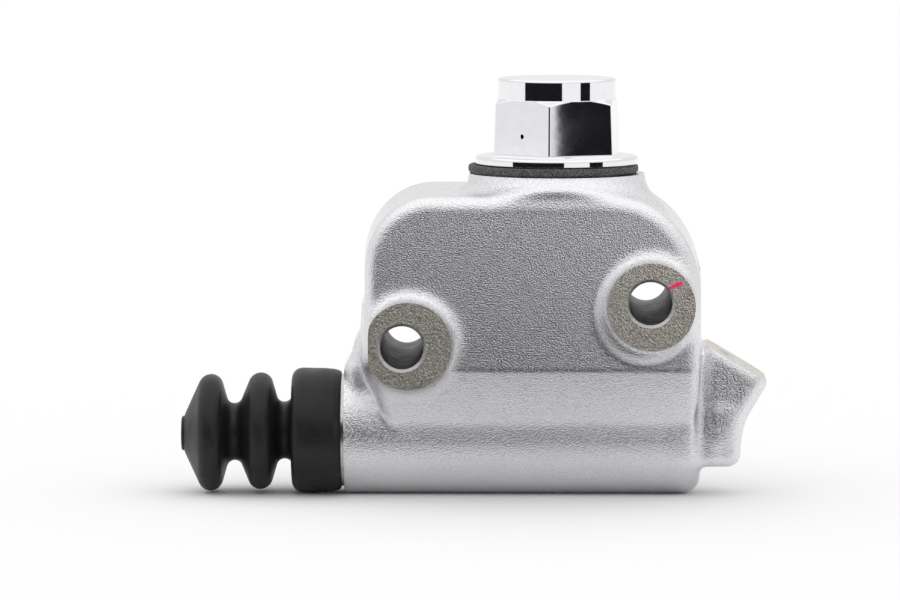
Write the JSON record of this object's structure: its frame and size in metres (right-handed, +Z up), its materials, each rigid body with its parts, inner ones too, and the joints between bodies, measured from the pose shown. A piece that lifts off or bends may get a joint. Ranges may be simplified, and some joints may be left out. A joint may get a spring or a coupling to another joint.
{
  "type": "brake master cylinder",
  "caption": "Motorcycle rear brake master cylinder: a cast body with a fluid reservoir over the bore, a screwed hexagon filler cap and a rubber push rod boot.",
  "frame": {"origin": "centre of the lower bolt hole, on the plane of the frame pads at the back", "axes": "+X along the bore from the boot to the outlet, +Y out of the frame pads towards the motorcycle's frame, +Z up through the filler cap"},
  "size_m": [0.1419, 0.073, 0.1007],
  "materials": {
    "cast_body": "silver paint over a sand-cast skin, machined bare on the seats",
    "chrome": "polished chrome plate",
    "gasket": "speckled dark fibre and rubber sheet",
    "rubber": "satin moulded black rubber",
    "steel": "bright turned and pressed steel",
    "aluminium": "turned aluminium",
    "brass": "turned brass"
  },
  "bodies": {
    "cylinder_body": {"body_casting": "cast_body", "outlet_tube_seat": "brass", "lock_ring": "steel", "stop_plate": "steel", "valve_seat_ring": "rubber", "return_spring": "steel", "dust_boot": "rubber"},
    "piston_assembly": {"piston": "aluminium", "secondary_cup": "rubber", "piston_shim": "steel", "primary_cup": "rubber", "cup_expander": "steel"},
    "check_valve": {"check_valve_cage": "steel", "check_valve_rubber": "rubber"},
    "gasket": {"cap_gasket": "gasket"},
    "cap": {"filler_cap": "chrome"}
  },
  "joints": [
    {"name": "piston_stroke", "type": "slide", "parent": "cylinder_body", "child": "piston_assembly", "axis": [1, 0, 0], "range_m": [0, 0.014], "stiffness_N_per_m": 800, "springref_m": -0.02, "deforming": ["return_spring", "dust_boot"]},
    {"name": "check_valve_lift", "type": "slide", "parent": "cylinder_body", "child": "check_valve", "axis": [-1, 0, 0], "range_m": [0, 0.001], "stiffness_N_per_m": 800, "springref_m": -0.01},
    {"name": "cap_lift", "type": "slide", "parent": "cylinder_body", "child": "gasket", "axis": [0, 0, 1], "range_m": [0, 0.01271]},
    {"name": "cap_turn", "type": "hinge", "parent": "gasket", "child": "cap", "pos_m": [0.037, -0.0455, 0.0423], "axis": [0, 0, 1], "range_deg": [0, 2880]}
  ],
  "couplings": [
    {"joint": "cap_lift", "follows": "cap_turn", "m_per_rad": 0.00025266}
  ]
}
